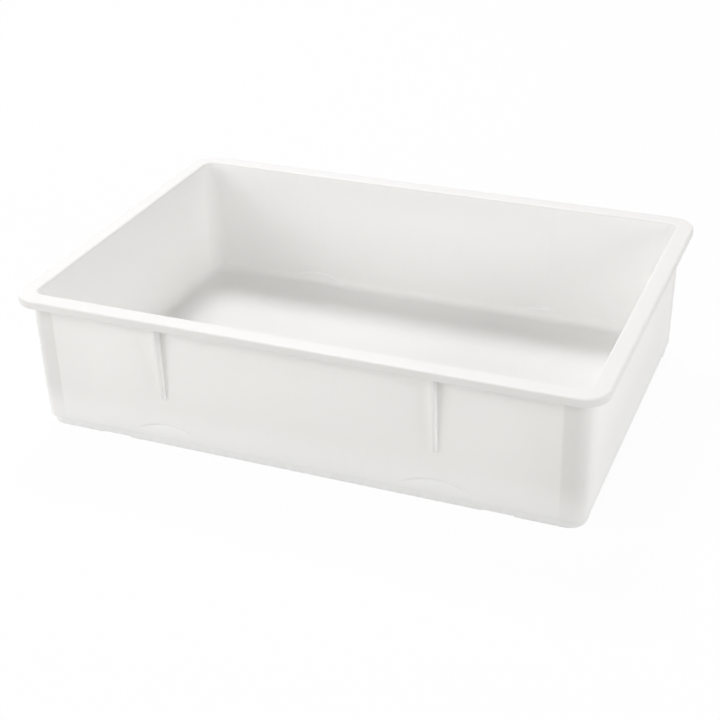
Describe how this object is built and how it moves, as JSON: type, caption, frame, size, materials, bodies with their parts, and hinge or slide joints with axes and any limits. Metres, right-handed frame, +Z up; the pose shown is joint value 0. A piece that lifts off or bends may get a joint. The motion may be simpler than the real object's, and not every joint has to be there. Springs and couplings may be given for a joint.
{
  "type": "dough proofing container",
  "caption": "Shallow open rectangular tub for proofing dough, moulded in one piece of white plastic, with a flat turned-down rim, ribbed long sides, grip recesses and a foot ring",
  "frame": {"origin": "centre of the footprint, on the ground under the foot ring", "axes": "+X along the long sides, +Z up, -Y the long side seen at the front of the picture"},
  "size_m": [0.66, 0.457, 0.163],
  "materials": {
    "white_plastic": "satin, very slightly see-through white"
  },
  "bodies": {
    "root": {"tub": "white_plastic"}
  },
  "joints": []
}
